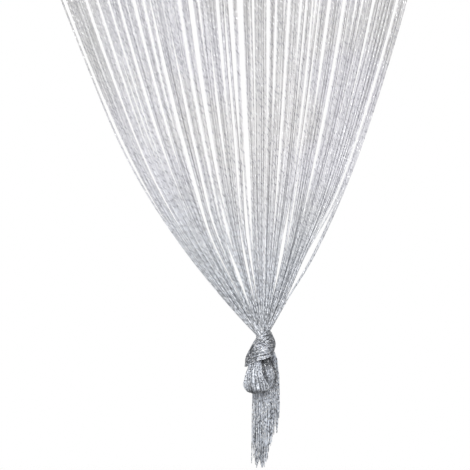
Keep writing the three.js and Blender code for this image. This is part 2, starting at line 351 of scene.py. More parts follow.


# Silver-grey yarn with a metal thread. It cools towards blue where the strings crowd into the knot, and the
# thread's painted dark reflections grow darker there.
def yarnMaterial(name, look):
    material, tree, shader = newMaterial(name)
    around, along = mapPlace(tree, "yarn")
    tone = attributeValue(tree, "tone")
    seed = attributeValue(tree, "seed")
    twist = placeGroup(tree, yarnTwist, Around=around, Along=along, Pitch=look["plyPitch"])
    thread = placeGroup(tree, metalThread, Around=around, Along=along, Seed=seed,
                        Pitch=look["threadPitch"], Width=look["threadWidth"], Share=look["threadShare"])
    place = objectPlace(tree)
    height = splitVector(tree, place)[2]
    cool = rangeNode(tree, height, look["coolFrom"], look["coolAt"])
    crowded = rangeNode(tree, height, look["coolAt"] + look["crowdedReach"], look["coolAt"])
    drift = noiseNode(tree, place, look["driftScale"], look["driftDetail"])

    patches = rangeNode(tree, drift, *look["patchRange"])
    yarn = mixColour(tree, patches, look["colour"], look["patchColour"])
    yarn = mixColour(tree, cool, yarn, look["coolColour"])
    # Painted shade in the grooves between the plies.
    grooveShaded = mathNode(tree, "MULTIPLY", twist.outputs["GrooveShade"], look["grooveShadeDepth"])
    yarn = mixColour(tree, grooveShaded, yarn, look["grooveShadeColour"])
    drifted = rangeNode(tree, drift, *look["driftRange"], 1 - look["drift"], 1 + look["drift"])
    toned = vectorNode(tree, "SCALE", {0: yarn, "Scale": mathNode(tree, "MULTIPLY", tone, drifted)})
    # Painted dark reflections on the metal thread, darker where the strings crowd.
    threadDarkReflection = mixColour(tree, crowded, look["threadDarkReflection"], look["crowdedDarkReflection"])
    reflectionDarkened = mixColour(tree, thread.outputs["DarkReflection"], toned.outputs[0], threadDarkReflection)
    flecked = mixColour(tree, thread.outputs["Bright"], reflectionDarkened, look["brightThread"])
    metal = mathNode(tree, "MAXIMUM", thread.outputs["DarkReflection"], thread.outputs["Bright"])
    feed(tree, shader, {
        "Base Color": flecked,
        "Metallic": rangeNode(tree, metal, 0, 1, look["yarnMetal"], look["threadMetal"]),
        "Roughness": rangeNode(tree, metal, 0, 1, look["roughness"], look["threadRoughness"]),
        "Sheen Weight": look["sheen"],
        "Sheen Roughness": look["sheenRoughness"],
        "Normal": bumpNode(tree, twist.outputs["Height"], look["plyHeight"]),
    })
    return material


# Heights and pitches in metres.
fanLook = {
    "colour": (0.775, 0.768, 0.772, 1), "patchColour": (0.74, 0.735, 0.775, 1), "patchRange": (0.42, 0.6),
    "coolColour": (0.755, 0.785, 0.84, 1), "coolFrom": -1.34, "coolAt": -1.58, "crowdedReach": 0.12,
    # Painted shade in the ply grooves.
    "grooveShadeColour": (0.55, 0.55, 0.56, 1), "grooveShadeDepth": 0.3,
    "drift": 0.05, "driftScale": 7, "driftDetail": 3, "driftRange": (0.3, 0.7),
    "plyPitch": 0.0042, "plyHeight": 0.00012,
    "roughness": 0.5, "sheen": 0.2, "sheenRoughness": 0.4, "yarnMetal": 0.08,
    "threadPitch": 0.0095, "threadWidth": 0.22, "threadShare": 0.4,
    # Painted dark reflections on the metal thread.
    "threadDarkReflection": (0.42, 0.42, 0.46, 1), "crowdedDarkReflection": (0.22, 0.23, 0.26, 1),
    "brightThread": (0.95, 0.95, 0.96, 1), "threadMetal": 0.4, "threadRoughness": 0.3,
}
# The knot's and the bow's yarn is the fan's yarn painted darker: painted shade of the packed strands.
knotLook = {
    **fanLook,
    "colour": (0.495, 0.52, 0.565, 1), "patchColour": (0.495, 0.51, 0.575, 1),
    "coolColour": (0.515, 0.54, 0.585, 1), "coolFrom": -1.5, "coolAt": -1.7,
    # Painted shade in the ply grooves, darker in the knot.
    "grooveShadeColour": (0.2, 0.21, 0.23, 1), "grooveShadeDepth": 0.4, "drift": 0.12, "driftScale": 60,
    "plyPitch": 0.003, "yarnMetal": 0.5, "roughness": 0.38,
    "threadPitch": 0.0058, "threadWidth": 0.34, "threadShare": 0.42,
    # Painted dark reflections on the metal thread.
    "threadDarkReflection": (0.07, 0.074, 0.085, 1), "crowdedDarkReflection": (0.07, 0.074, 0.085, 1),
    "brightThread": (1.0, 1.0, 1.0, 1), "threadMetal": 0.6,
}
bowLook = {**knotLook, "threadShare": 0.25, "threadWidth": 0.26}
# Painted shade: the loose ends' yarn is the fan's yarn painted darker, less so than the knot's.
tailLook = {
    **knotLook,
    "colour": (0.6, 0.64, 0.7, 1), "patchColour": (0.59, 0.62, 0.705, 1),
    "coolColour": (0.615, 0.65, 0.71, 1), "yarnMetal": 0.3, "roughness": 0.42,
}
fanYarn = yarnMaterial("fanYarn", fanLook)
shadedKnotYarn = yarnMaterial("shadedKnotYarn", knotLook)
shadedBowYarn = yarnMaterial("shadedBowYarn", bowLook)
shadedTailYarn = yarnMaterial("shadedTailYarn", tailLook)
print("string curtain: the yarn is ready")

camera = {"lens": 198.6, "sensor": 36, "clipEnd": 60, "place": (0.0376, -3.5, -1.472)}


def makeCamera():
    data = bpy.data.cameras.new("frontCamera")
    data.lens = camera["lens"]
    data.sensor_width = camera["sensor"]
    data.clip_end = camera["clipEnd"]
    piece = bpy.data.objects.new("frontCamera", data)
    piece.location = camera["place"]
    piece.rotation_euler = (math.radians(90), 0, 0)
    scene.collection.objects.link(piece)
    scene.camera = piece


makeCamera()

# The fan of strings, in millimetres. Heights are above the knot's neck, and place runs from 0 at the left
# edge to 1 at the right one. Two heights give where a change starts and ends.
fan = {
    "seed": 41,
    "count": 220,
    "groups": {"strings_far_left": (0, 55), "strings_left": (55, 110), "strings_right": (110, 165),
               "strings_far_right": (165, 220)},
    "span": 894.0,
    "knot": (74.0, 0.0, -1604.3),  # the middle of the neck
    "hang": 1550.0,  # from the neck to the strip
    "below": 280.0,  # the length of string that weighs as much as what hangs below the neck
    "halfWidth": 1.08,
    "halfDepth": 0.3,
    "girthSpread": 0.05,
    "neckShare": 0.66,  # how full a string is where they crowd together
    "fullFrom": (10.0, 220.0),
    "neckHalfWidth": 9.6,
    "neckHalfDepth": 9.8,
    "crossing": 0.5,  # how far strings change places with each other in the neck
    "rootInStrip": 1.5,
    "endInKnot": 13.0,
    "straightBelow": 4.0,
    "finestStep": 2.5,
    "finestUpTo": 115.0,
    "fineStep": 5.0,
    "fineUpTo": 460.0,
    "coarseStep": 12.0,
    "turnPitch": 210.0,
    "turnBy": 0.12,
    "turnSpread": 0.1,
    "placeJitter": 0.14,
    "steadyEdge": 8,  # the strings of the outer eighth at each side keep more and more to their places
    "wander": 0.35,
    "wanderPitch": (180, 520),
    "wanderFrom": (20, 300),
    "wanderUpTo": (1350.0, 1550.0),
    "slitReach": 0.012,
    "slitPush": 0.55,
    "slitSoftness": 90.0,
    "slitsFade": (0.55, 0.97),  # as shares of the hang
    "edgeReach": 0.03,
    "lowSlitReach": 0.04,
    "leftBulge": (6.5, 206.0, 120.0, 3),  # how far out, at what height, its reach, how steeply it fades
    # Painted light and shade along the height: the strings are darker near the neck and high up, and
    # brightest in between, as the light falls off.
    "paintedShadeHeights": (0.0, 25.0, 60.0, 130.0, 245.0, 450.0, 1550.0),
    "paintedShades": (0.85, 0.915, 0.965, 1.06, 1.09, 0.94, 0.98),
    "acrossShades": (0.92, 0.95, 0.985, 1.02, 1.045, 1.035, 1.035, 1.05, 1.03, 1.0, 0.985),
    "toneSpread": 0.028,
    "clumps": (34, 0.025),  # how many, and how much their tones differ
    "dashes": (0.62, 0.055, 58.0),  # at the neck, far from it, and the height over which they fade
}

# Slits between clumps of strings: place, width, and the heights of its lower and its upper end.
fanSlits = [
    (0.0023, 5.8, 150, 2000), (0.071, 5.0, 110, 2000), (0.102, 3.2, 285, 480), (0.12, 3.2, 215, 350),
    (0.134, 3.0, 225, 2000), (0.164, 3.9, 215, 2000), (0.209, 5.3, 245, 2000), (0.236, 4.0, 265, 2000),
    (0.255, 5.2, 95, 420), (0.3, 5.4, 115, 370), (0.338, 4.4, 150, 2000), (0.373, 6.4, 205, 2000),
    (0.397, 2.8, 370, 2000), (0.418, 4.0, 230, 370), (0.451, 5.0, 310, 2000), (0.471, 4.6, 150, 430),
    (0.489, 7.0, 270, 2000), (0.499, 5.6, 95, 215), (0.516, 8.0, 160, 2000), (0.556, 3.2, 230, 2000),
    (0.601, 4.8, 330, 2000), (0.622, 4.4, 300, 2000), (0.65, 3.0, 420, 2000), (0.66, 4.0, 165, 2000),
    (0.697, 4.4, 390, 2000), (0.711, 3.6, 320, 2000), (0.734, 3.4, 240, 2000), (0.738, 4.6, 400, 2000),
    (0.748, 3.0, 220, 2000), (0.753, 5.0, 115, 215), (0.777, 6.2, 320, 2000), (0.822, 5.2, 180, 2000),
    (0.858, 5.4, 420, 2000), (0.876, 4.4, 420, 2000), (0.906, 5.0, 375, 2000), (0.933, 2.0, 430, 2000),
    (0.973, 4.4, 100, 2000),
]

# Short slits and bends low in the fan: place, how far the strings on its left are pushed to the left and
# those on its right to the right, height, reach. Opposite signs push both the same way, which bends a slit.
lowSlits = [
    (0.255, 4.0, -4.0, 125, 45), (0.3, 3.0, -3.0, 160, 50), (0.336, 2.6, 2.6, 80, 34),
    (0.358, 2.6, 2.2, 148, 32), (0.447, 2.2, 2.2, 95, 45), (0.471, 2.6, -2.6, 165, 60),
    (0.49, 3.4, -3.4, 110, 60), (0.739, 3.4, 3.0, 114, 56), (0.978, 9.0, 0.0, 106, 50),
    (1.0, 4.0, -4.0, 45, 38),
]


# Where the strings lie in the neck, sorted from left to right apart from some that cross.
def neckPlaces(rng):
    x, y = ovalPlaces(fan["count"], fan["neckHalfWidth"], fan["neckHalfDepth"])
    order = np.argsort(x + rng.normal(0, fan["crossing"], fan["count"]))
    return x[order, None], y[order, None]


def fanHeights():
    finest = np.arange(-fan["endInKnot"], fan["finestUpTo"], fan["finestStep"])
    fine = np.arange(fan["finestUpTo"], fan["fineUpTo"], fan["fineStep"])
    coarseCount = int((fan["hang"] - fan["fineUpTo"]) / fan["coarseStep"])
    coarse = np.linspace(fan["fineUpTo"], fan["hang"] + fan["rootInStrip"], coarseCount)
    return np.concatenate([finest, fine, coarse])[None]


# How far each string is pushed to the right by the slits beside it, at each height.
def slitPush(place, heights):
    soft = fan["slitSoftness"]
    free = 1 - smoothStep(heights / fan["hang"], *fan["slitsFade"])
    push = np.zeros((len(place), heights.shape[1]))
    for at, width, foot, top in fanSlits:
        opened = free * smoothStep(heights, foot - soft, foot + soft)
        opened = opened * (1 - smoothStep(heights, top - soft, top + soft))
        away = place - at
        push += np.sign(away) * width * fan["slitPush"] * opened * np.exp(-np.abs(away) / fan["slitReach"])
    push -= push[:1] * np.exp(-place / fan["edgeReach"]) + push[-1:] * np.exp((place - 1) / fan["edgeReach"])
    for at, toLeft, toRight, height, reach in lowSlits:
        away = place - at
        near = np.exp(-np.abs(away) / fan["lowSlitReach"] - ((heights - height) / reach) ** 2)
        push += np.where(away < 0, -toLeft, toRight) * near
    return push


def fanPaths(rng, heights):
    count = fan["count"]
    neckX, neckY = neckPlaces(rng)
    place = np.arange(count) / (count - 1)
    inner = np.minimum(1, fan["steadyEdge"] * np.minimum(place, 1 - place))
    place = (place + rng.uniform(-1, 1, count) / (count - 1) * fan["placeJitter"] * inner)[:, None]
    straight = fan["straightBelow"]
    bent = np.where(heights < 0, straight * np.expm1(np.minimum(heights, 0) / straight), heights)
    share = np.log1p(bent / fan["below"]) / math.log1p(fan["hang"] / fan["below"])
    pitch = rng.uniform(*fan["wanderPitch"], (count, 1))
    waver = np.sin(fullTurn * heights / pitch + rng.uniform(0, fullTurn, (count, 1)))
    waver *= smoothStep(heights, *fan["wanderFrom"]) * (1 - smoothStep(heights, *fan["wanderUpTo"]))
    bulge, bulgeHeight, bulgeReach, fade = fan["leftBulge"]
    bulge = bulge * (1 - place) ** fade * np.exp(-((heights - bulgeHeight) / bulgeReach) ** 2)
    x = lerp(fan["knot"][0] + neckX, (place - 0.5) * fan["span"], share)
    x = x + slitPush(place, heights) + fan["wander"] * waver - bulge
    y = neckY * (1 - share)
    z = np.broadcast_to(fan["knot"][2] + heights, x.shape)
    return place, np.stack([x, y, z], axis=-1) * mm


def fanTones(rng, place, heights):
    clumpCount, clumpSpread = fan["clumps"]
    clumps = np.interp(place, np.linspace(0, 1, clumpCount), rng.normal(0, clumpSpread, clumpCount))
    across = np.interp(place, np.linspace(0, 1, len(fan["acrossShades"])), fan["acrossShades"])
    nearKnot, far, fade = fan["dashes"]
    strength = lerp(far, nearKnot, np.exp(-np.clip(heights, 0, None) / fade))
    tone = (strandTone(rng, fan["count"], fan["toneSpread"]) + clumps) * across
    # Painted light and shade by height.
    tone = tone * np.interp(heights, fan["paintedShadeHeights"], fan["paintedShades"])
    return tone * dashes(rng, tone.shape, strength)


def fanStrings():
    rng = np.random.default_rng(fan["seed"])
    count = fan["count"]
    heights = fanHeights()
    place, paths = fanPaths(rng, heights)
    fullness = lerp(fan["neckShare"], 1, smoothStep(heights, *fan["fullFrom"]))
    girth = rng.normal(1, fan["girthSpread"], (count, 1)) * fullness * mm
    turn = np.sin(fullTurn * heights / fan["turnPitch"] + rng.uniform(0, fullTurn, (count, 1)))
    turn = turn * fan["turnBy"] + rng.normal(0, fan["turnSpread"], (count, 1))
    tone = fanTones(rng, place, heights)
    seed = rng.uniform(0, 1, count)
    pieces = []
    for name, (first, last) in fan["groups"].items():
        part = slice(first, last)
        piece = strandMesh(name, paths[part], girth[part] * fan["halfWidth"], girth[part] * fan["halfDepth"],
                           (0, 1, 0), turn[part], tone[part], seed[part], fanYarn)
        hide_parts("string_panel")
        pieces.append(piece)
    return pieces


stringPieces = fanStrings()
print("string curtain: the strings hang")


# From millimetres round the middle of the knot's neck to the frame's metres.
def fromNeck(points):
    return (np.array(points) + fan["knot"]) * mm


# The knot, in millimetres from the middle of its neck: x to the right, y to the back, z up. Angles are in
# degrees, from the right round by the back. down is 0 at the wrap's upper edge and 1 at its foot.
wrap = {
    "topRadius": 10.7,
    "sides": [  # right, back, left, front: bulge, where it is widest, slope, hem, foot, upper edge
        (7.1, 0.62, 0.9, 0.8, -28.0, 0.0),
        (7.2, 0.55, 1.0, 0.75, -31.0, -3.0),
        (11.2, 0.8, 1.6, 1.03, -47.0, -5.5),
        (7.8, 0.6, 1.0, 0.94, -35.5, -4.5),
    ],
    "lump": (310.0, 31.0, 9.5, 1.4),  # angle, reach, how high and how far out
    "lumpFade": (0.1, 0.5),
    "poles": (26.0, 172.0),  # where the strands run together
    "poleDown": (0.72, 0.96),
    "polePower": 0.55,
    "seed": 7,
    "strands": 20,
    "edges": (0.02, 0.97),
    "edgeSpread": 0.008,
    "layers": (0.0, -0.9),
    "steps": 48,
    "halfWidth": 0.9,
    "halfDepth": 0.62,
    "waver": 0.014,
    "waverTurns": (0.8, 1.8),
    "lift": 0.3,
    "liftSpread": 0.25,
    "liftTurns": (1, 2.5),
    "sideShade": 0.38,
    "sideMiddle": 0.15,
    "sideFrom": (0.3, 0.85),
    "tone": (1.3, 0.36),
    "dashes": 0.4,
    "dashPoints": 2,
    "sideDashes": 0.7,
    # Painted highlight: the lowest strands at the wrap's rim are brighter.
    "rimStrands": 2,
    "rimHighlightTone": 1.6,
}


def wrapSurface(angle, down, out):
    quarters = (angle / (math.pi / 2)) % 4
    first = quarters.astype(int) % 4
    sides = np.array(wrap["sides"])
    blend = smoothStep(quarters - np.floor(quarters), 0, 1)[..., None]
    values = lerp(sides[first], sides[(first + 1) % 4], blend)
    bulge, widest, slope, hem, foot, rise = np.moveaxis(values, -1, 0)
    lumpAngle, lumpReach, lumpRise, lumpOut = wrap["lump"]
    turned = (np.degrees(angle) - lumpAngle + 180) % 360 - 180
    lump = np.exp(-((turned / lumpReach) ** 2))
    reached = np.minimum(1, np.clip(down, 0, None) / widest)
    swell = np.sin(math.pi / 2 * reached**slope)
    radius = (wrap["topRadius"] + bulge * swell) * lerp(1, hem, smoothStep(down, widest, 1)) + out
    radius = radius + lumpOut * lump * (1 - smoothStep(down, *wrap["lumpFade"]))
    height = lerp(rise + lumpRise * lump, foot, down)
    return np.stack([radius * np.cos(angle), radius * np.sin(angle), height], axis=-1)


def wrapStrands():
    rng = np.random.default_rng(wrap["seed"])
    paths, tones = [], []
    count = wrap["strands"]
    toneMiddle, toneSpread = wrap["tone"]
    startAngle, endAngle = (math.radians(value) for value in wrap["poles"])
    t = np.linspace(0, 1, wrap["steps"])
    middle = lerp(*wrap["poleDown"], t)
    spread = np.sin(math.pi * t) ** wrap["polePower"]
    for lastAngle in (endAngle - fullTurn, endAngle):  # round the front, then round the back
        sweep = lerp(startAngle, lastAngle, t)
        side = smoothStep(np.abs(np.cos(sweep) - wrap["sideMiddle"]), *wrap["sideFrom"])
        strength = wrap["dashes"] * (1 + wrap["sideDashes"] * side)
        shade = 1 - wrap["sideShade"] * side
        for layer, out in enumerate(wrap["layers"]):
            tone = toneMiddle * strandTone(rng, count, toneSpread)
            # Painted highlight on the rim strands.
            tone[-wrap["rimStrands"]:] = wrap["rimHighlightTone"]
            tones.extend(tone * dashes(rng, (count, len(t)), strength, wrap["dashPoints"]) * shade)
            for strand in range(count):
                share = (strand + 0.5 * layer) / (count - 1) + rng.normal(0, wrap["edgeSpread"])
                edge = lerp(*wrap["edges"], min(1.0, share))
                waver = wrap["waver"] * randomWave(rng, t, wrap["waverTurns"])
                down = lerp(middle, edge, spread) + waver * spread
                lift = out + rng.normal(0, wrap["liftSpread"])
                lift = lift + wrap["lift"] * randomWave(rng, t, wrap["liftTurns"])
                paths.append(wrapSurface(sweep, np.clip(down, 0, 1), lift))
    piece = strandMesh("knot_wrap", fromNeck(paths), wrap["halfWidth"] * mm, wrap["halfDepth"] * mm,
                       (0, 0, 1), 0.0, np.array(tones), rng.uniform(0, 1, len(paths)), shadedKnotYarn)
    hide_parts("knot_and_tail")
    return piece


# The bow's two lobes. Each row: the middle line's x, y and z, then the half width and half depth there. The
# broad lobe comes down in front, folds to the back at its foot and goes up again, beside the round one.
# A shade is followed by the depths below the neck between which it sets in or ends.
bow = {
    "broad": {
        "rows": [
            (-8.5, -2.0, -24.0, 7.0, 5.0),
            (-9.5, -4.5, -36.0, 7.8, 5.5),
            (-9.4, -9.0, -46.0, 8.8, 6.0),
            (-10.8, -12.0, -54.0, 10.8, 6.0),
            (-9.8, -13.5, -62.0, 13.8, 5.6),
            (-8.2, -13.0, -70.0, 16.6, 5.4),
            (-6.0, -7.5, -75.4, 14.8, 6.0),
            (-4.5, 0.5, -70.0, 14.0, 4.8),
            (-3.0, 3.0, -52.0, 9.5, 5.0),
            (-1.0, 2.0, -34.0, 7.5, 5.0),
        ],
        "seed": 19,
        "strands": 40,
        "twist": -0.03,
        "shadeSides": (0.1, 0.2),
        "shadeTop": (0.78, 29.0, 47.0),
        # Painted light: the broad lobe in front is painted brighter.
        "tone": (1.86, 0.3),
    },
    "round": {
        "rows": [
            (3.5, -1.5, -26.0, 4.0, 4.0),
            (6.5, -4.5, -38.0, 6.4, 5.4),
            (9.3, -5.5, -50.0, 8.6, 6.4),
            (10.8, -5.0, -60.0, 8.0, 6.4),
            (10.0, -2.5, -68.0, 6.5, 5.0),
            (6.5, 0.0, -74.0, 3.5, 3.0),
        ],
        "seed": 29,
        "strands": 28,
        "twist": 0.1,
        "shadeSides": (0.52, 0.75),
        "shadeTop": (0.2, 37.0, 55.0),
        # Painted shade: the round lobe behind the broad one is painted darker.
        "tone": (0.94, 0.38),
    },
    "evenRow": 3,  # the strands lie evenly spaced there
    "layers": (0.0, -0.9),
    "steps": 60,
    "halfWidth": 0.92,
    "halfDepth": 0.62,
    "angleSpread": 0.02,
    "waver": 0.03,
    "waverTurns": (1, 2.4),
    "lift": 0.15,
    "liftTurns": (1, 3),
    "shadeFoot": (0.75, 72.5, 79.0),
    "sidePower": 3,
    "dashes": 0.38,
    "lineStep": 0.01,  # how far ahead and back a lobe's direction is read
    "ovalPoints": 721,
}


def lobeSurface(lobe, angle, t, out):
    lines = bow[lobe]["rows"]
    step = bow["lineStep"]
    rows = smoothRows(lines, t)
    ahead = smoothRows(lines, np.minimum(t + step, 1)) - smoothRows(lines, np.maximum(t - step, 0))
    along = ahead[..., :3] * np.array([0.0, 1.0, 1.0])
    across = np.broadcast_to(np.array([1.0, 0.0, 0.0]), along.shape)
    inward = unit(np.cross(across, along))
    offset = across * ((rows[..., 3] + out) * np.cos(angle))[..., None]
    offset = offset + inward * ((rows[..., 4] + out) * np.sin(angle))[..., None]
    return rows[..., :3] + offset


# Angles round an oval at which points lie evenly along its edge.
def evenAngles(count, halfWidth, halfDepth, start):
    fine = np.linspace(0, fullTurn, bow["ovalPoints"])
    steps = np.hypot(np.diff(halfWidth * np.cos(fine)), np.diff(halfDepth * np.sin(fine)))
    walked = np.concatenate([[0], np.cumsum(steps)])
    return np.interp((np.arange(count) + start) % count / count * walked[-1], walked, fine)


def lobeStrands(lobe):
    look = bow[lobe]
    rng = np.random.default_rng(look["seed"])
    count = look["strands"]
    t = np.linspace(0, 1, bow["steps"])
    widest, deepest = look["rows"][bow["evenRow"]][3:]
    toneMiddle, toneSpread = look["tone"]
    shadeLeft, shadeRight = look["shadeSides"]
    shadeTop, topFrom, topTo = look["shadeTop"]
    shadeFoot, footFrom, footTo = bow["shadeFoot"]
    paths, tones = [], []
    for layer, out in enumerate(bow["layers"]):
        tone = toneMiddle * strandTone(rng, count, toneSpread)
        tone = tone * dashes(rng, (count, len(t)), bow["dashes"])
        for strand, angle in enumerate(evenAngles(count, widest, deepest, 0.5 * layer)):
            waver = bow["waver"] * randomWave(rng, t, bow["waverTurns"])
            lift = out + rng.normal(0, bow["lift"]) + bow["lift"] * randomWave(rng, t, bow["liftTurns"])
            turned = angle + rng.normal(0, bow["angleSpread"]) + fullTurn * look["twist"] * t + waver
            path = lobeSurface(lobe, turned, t, lift)
            side = np.cos(turned)
            shade = 1 - np.where(side < 0, shadeLeft, shadeRight) * np.abs(side) ** bow["sidePower"]
            shade = shade * lerp(shadeTop, 1, smoothStep(-path[:, 2], topFrom, topTo))
            shade = shade * (1 - shadeFoot * smoothStep(-path[:, 2], footFrom, footTo))
            paths.append(path)
            tones.append(tone[strand] * shade)
    piece = strandMesh("bow_" + lobe, fromNeck(paths), bow["halfWidth"] * mm, bow["halfDepth"] * mm,
                       (1, 0, 0), 0.0, np.array(tones), rng.uniform(0, 1, len(paths)), shadedBowYarn)
    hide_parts("knot_and_tail")
    return piece


# Packed yarn under the strands of the knot, coloured dark as painted shade, where only shadow and a few ends
# show.
core = {
    "inset": 2.1,
    "pole": 0.25,  # the share of its poles over which a core closes
    "wrap_core": {"segments": 40, "rings": 28, "span": (0.02, 0.98)},
    "broad_core": {"segments": 28, "rings": 60, "span": (0.03, 0.97)},
    "round_core": {"segments": 28, "rings": 40, "span": (0.03, 0.97)},
    "dark": (0.14, 0.143, 0.155, 1),
    "pale": (0.4, 0.41, 0.43, 1),
    "paleRange": (0.35, 0.65),
    "grain": (520, 520, 160),
    "grainDetail": 3,
    "roughness": 0.8,
    "bump": 0.0006,
}


# The core's dark colours are painted shade.
def coreShadeMaterial():
    material, tree, shader = newMaterial("packedYarnShade")
    stretch = newNode(tree, "Mapping", {"Vector": objectPlace(tree), "Scale": core["grain"]})
    grain = noiseNode(tree, stretch.outputs["Vector"], 1, core["grainDetail"])
    paleness = rangeNode(tree, grain, *core["paleRange"])
    feed(tree, shader, {
        "Base Color": mixColour(tree, paleness, core["dark"], core["pale"]),
        "Roughness": core["roughness"],
        "Normal": bumpNode(tree, grain, core["bump"]),
    })
    return material


# A ball primitive that is drawn onto a surface of the knot, just under its strands.
def knotCore(name, surface):
    sizes = core[name]
    piece = primitive(name, bpy.ops.mesh.primitive_uv_sphere_add, radius=1,
                      segments=sizes["segments"], ring_count=sizes["rings"])
    points = meshPoints(piece)
    angle = np.arctan2(points[:, 1], points[:, 0]) % fullTurn
    polar = np.arccos(np.clip(points[:, 2], -1, 1)) / math.pi
    down = lerp(*sizes["span"], polar)
    pole = np.minimum(1, np.sin(polar * math.pi) / core["pole"])[:, None]
    outer = surface(angle, down, -core["inset"])
    opposite = surface(angle + math.pi, down, -core["inset"])
    setMeshPoints(piece, fromNeck(lerp((outer + opposite) / 2, outer, pole)))
    bpy.ops.object.shade_smooth()
    piece.data.materials.append(coreShadeYarn)
    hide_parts("knot_and_tail")
    return piece


coreShadeYarn = coreShadeMaterial()
knotWrap = wrapStrands()
broadLobe = lobeStrands("broad")
roundLobe = lobeStrands("round")
wrapCore = knotCore("wrap_core", wrapSurface)
broadCore = knotCore("broad_core", lambda *spot: lobeSurface("broad", *spot))
roundCore = knotCore("round_core", lambda *spot: lobeSurface("round", *spot))
print("string curtain: the knot is tied")

# The loose ends below the knot, in its millimetres. Depths are below the neck.
tail = {
    "seed": 23,
    "count": 200,
    "middle": (5.6, 12.0),
    "halfWidth": 17.6,
    "halfDepth": 8.2,
    "top": -17.0,
    "topScale": 0.5,
    "headFoot": -41.0,
    "headScale": 0.88,
    "fullAt": 0.32,  # the share of a loose end's length at which the tassel has its full width
    "spread": 1.03,
    "tip": -183.0,
    "shorter": 44.0,  # how much shorter the ends at the right are
    "shorterFrom": (-2.5, 11),
    "uneven": (42.0, 56.0),  # usual and greatest difference in length
    "evenRight": 0.45,
    "steps": 42,
    "halfWidthOfYarn": 0.78,
    "halfDepthOfYarn": 0.6,
    "taper": 0.35,
    "taperFrom": (0.985, 1.0),
    "turnPitch": 34,
    "looseFrom": (50, 130),
    "sway": (0.4, 0.32),
    "swayPitch": (50, 150),
    "lean": 0.8,
    "toneSpread": 0.13,
    "dashes": 0.26,
}


def looseEnds():
    rng = np.random.default_rng(tail["seed"])
    count = tail["count"]
    x, y = (values[:, None] for values in ovalPlaces(count, tail["halfWidth"], tail["halfDepth"]))
    right = smoothStep(x, *tail["shorterFrom"])
    usual, greatest = tail["uneven"]
    uneven = np.clip(rng.exponential(usual, (count, 1)), 0, greatest) * (1 - tail["evenRight"] * right)
    tip = tail["tip"] + tail["shorter"] * right + uneven
    t = np.linspace(0, 1, tail["steps"])[None]
    z = lerp(tail["top"], tip, t)
    fullHeight = lerp(tail["headFoot"], tip, tail["fullAt"])
    scale = lerp(tail["topScale"], tail["headScale"], smoothStep(-z, -tail["top"], -tail["headFoot"]))
    scale = scale + (1 - tail["headScale"]) * smoothStep(-z, -tail["headFoot"], -fullHeight)
    scale = scale + (tail["spread"] - 1) * smoothStep(-z, -fullHeight, -tip)
    loose = smoothStep(-z, *tail["looseFrom"])
    phase = rng.uniform(0, fullTurn, (2, count, 1))
    pitch = rng.uniform(*tail["swayPitch"], (2, count, 1))
    sway = np.array(tail["sway"])[:, None, None] * loose * np.sin(fullTurn * z / pitch + phase)
    lean = rng.normal(0, tail["lean"], (2, count, 1)) * loose * t
    px = tail["middle"][0] + x * scale + sway[0] + lean[0]
    py = tail["middle"][1] + y * scale + sway[1] + lean[1]
    paths = fromNeck(np.stack([px, py, z], axis=-1))
    taper = (1 - tail["taper"] * smoothStep(t, *tail["taperFrom"])) * mm
    turn = fullTurn * z / tail["turnPitch"] + phase[0]
    tone = strandTone(rng, count, tail["toneSpread"]) * dashes(rng, z.shape, tail["dashes"])
    piece = strandMesh("loose_ends", paths, taper * tail["halfWidthOfYarn"], taper * tail["halfDepthOfYarn"],
                       (0, 1, 0), turn, tone, rng.uniform(0, 1, count), shadedTailYarn)
    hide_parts("knot_and_tail")
    return piece


tailPiece = looseEnds()
print("string curtain: the loose ends hang")

# The heading tape, in millimetres. Its cloth goes up at the front, round the pocket and down at the back.
tape = {
    "width": 900.0,
    "height": 50.0,
    "cloth": 1.1,
    "layerGap": 1.3,
    "seam": 12.0,
    "pocket": 9.1,
    "centre": -9.7,
    "flare": 0.25,
    "arcPoints": 60,
    "columns": 130,
    "rows": 66,
    "slack": 0.35,
    "slackBy": (0.5, 0.3),  # to the front and down
    "ripples": [(41, 0, 0, 0.6), (17, 1.3, 0, 0.25), (97, 0, 5, 1)],  # length, start, slant, height
    "colour": (0.6, 0.603, 0.61, 1),
    "shadeColour": (0.34, 0.345, 0.355, 1),
    "shade": 0.6,
    "roughness": 0.72,
    "sheen": 0.2,
    "weaveHeight": 0.00018,
}


# The section through the pocket, from the front foot to the back one: y and z at shares of its girth.
def tapeSection(shares):
    half = tape["layerGap"] / 2
    foot = -tape["height"]
    seamTop = tape["seam"] - tape["height"]
    angles = np.linspace(math.pi + tape["flare"], -tape["flare"], tape["arcPoints"])
    arc = np.stack([np.cos(angles), np.sin(angles)], axis=1) * tape["pocket"] + (0, tape["centre"])
    line = np.concatenate([[(-half, foot), (-half, seamTop)], arc, [(half, seamTop), (half, foot)]])
    lengths = np.concatenate([[0], np.cumsum(np.linalg.norm(np.diff(line, axis=0), axis=1))])
    wanted = shares * lengths[-1]
    return np.interp(wanted, lengths, line[:, 0]), np.interp(wanted, lengths, line[:, 1]), lengths[-1]


def tapeMaterial():
    material, tree, shader = newMaterial("wovenTape")
    along, across = mapPlace(tree, "cloth")
    woven = placeGroup(tree, tapeWeave, Across=across, Along=along)
    shaded = mathNode(tree, "MULTIPLY", woven.outputs["Shade"], tape["shade"])
    feed(tree, shader, {
        "Base Color": mixColour(tree, shaded, tape["colour"], tape["shadeColour"]),
        "Roughness": tape["roughness"],
        "Sheen Weight": tape["sheen"],
        "Normal": bumpNode(tree, woven.outputs["Height"], tape["weaveHeight"]),
    })
    return material


